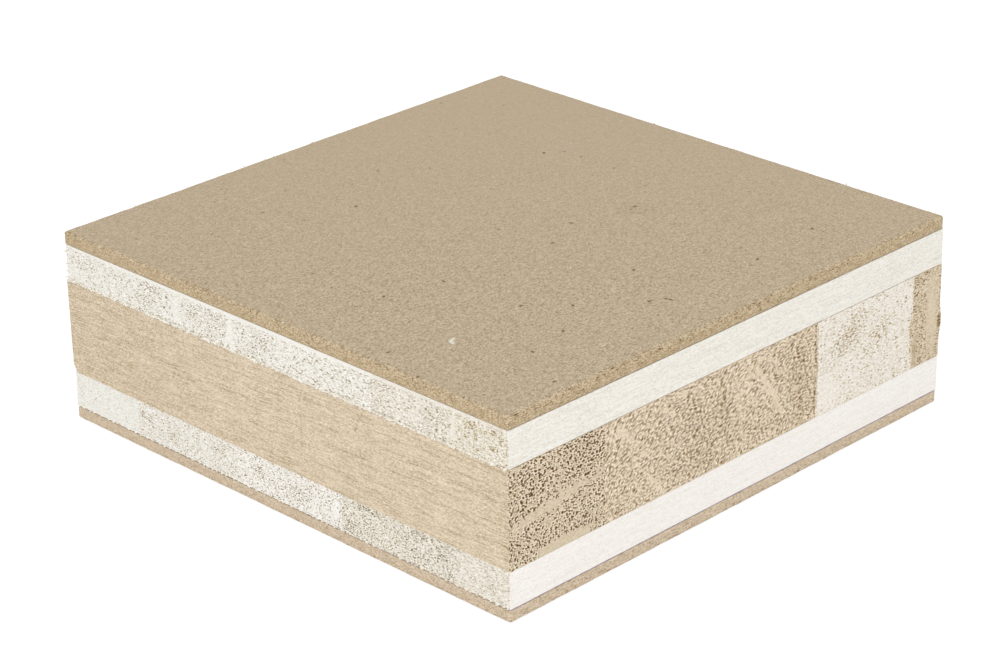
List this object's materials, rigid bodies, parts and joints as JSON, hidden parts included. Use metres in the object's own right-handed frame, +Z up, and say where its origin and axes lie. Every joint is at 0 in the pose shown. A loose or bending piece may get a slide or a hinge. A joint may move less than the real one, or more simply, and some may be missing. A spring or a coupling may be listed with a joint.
{
  "type": "blockboard sample block",
  "caption": "Square sample block of thick blockboard, sawn on four edges: fibreboard faces over cross-laid pale laths and a lath core, with thin glue lines between the plies.",
  "frame": {"origin": "middle of the underside of the block, on the surface that it rests on", "axes": "+Z up through the thickness, +X along the grain of the crossbands, +Y along the grain of the core laths"},
  "size_m": [0.121, 0.1204, 0.04],
  "materials": {
    "fibreboard": "brown medium-density fibreboard, unfinished, with fine fibre flecks",
    "crossband_wood": "pale cream light hardwood, sawn and unfinished",
    "core_wood": "tan open-pored wood, sawn and unfinished, end grain on two sides",
    "pale_core_wood": "cream open-pored wood, sawn and unfinished",
    "glue": "cured purple-grey resin glue line"
  },
  "bodies": {
    "root": {"bottom_face_sheet": "fibreboard", "lower_face_glue": "glue", "lower_crossband_lath_1": "crossband_wood", "lower_crossband_lath_2": "crossband_wood", "lower_crossband_lath_3": "crossband_wood", "lower_crossband_lath_4": "crossband_wood", "lower_crossband_lath_5": "crossband_wood", "lower_core_glue": "glue", "core_lath_1": "core_wood", "core_lath_2": "core_wood", "core_lath_3": "core_wood", "core_lath_4": "pale_core_wood", "core_lath_5": "core_wood", "upper_core_glue": "glue", "upper_crossband_lath_1": "crossband_wood", "upper_crossband_lath_2": "crossband_wood", "upper_crossband_lath_3": "crossband_wood", "upper_crossband_lath_4": "crossband_wood", "upper_crossband_lath_5": "crossband_wood", "upper_crossband_lath_6": "crossband_wood", "upper_crossband_lath_7": "crossband_wood", "upper_face_glue": "glue", "top_face_sheet": "fibreboard"}
  },
  "joints": []
}
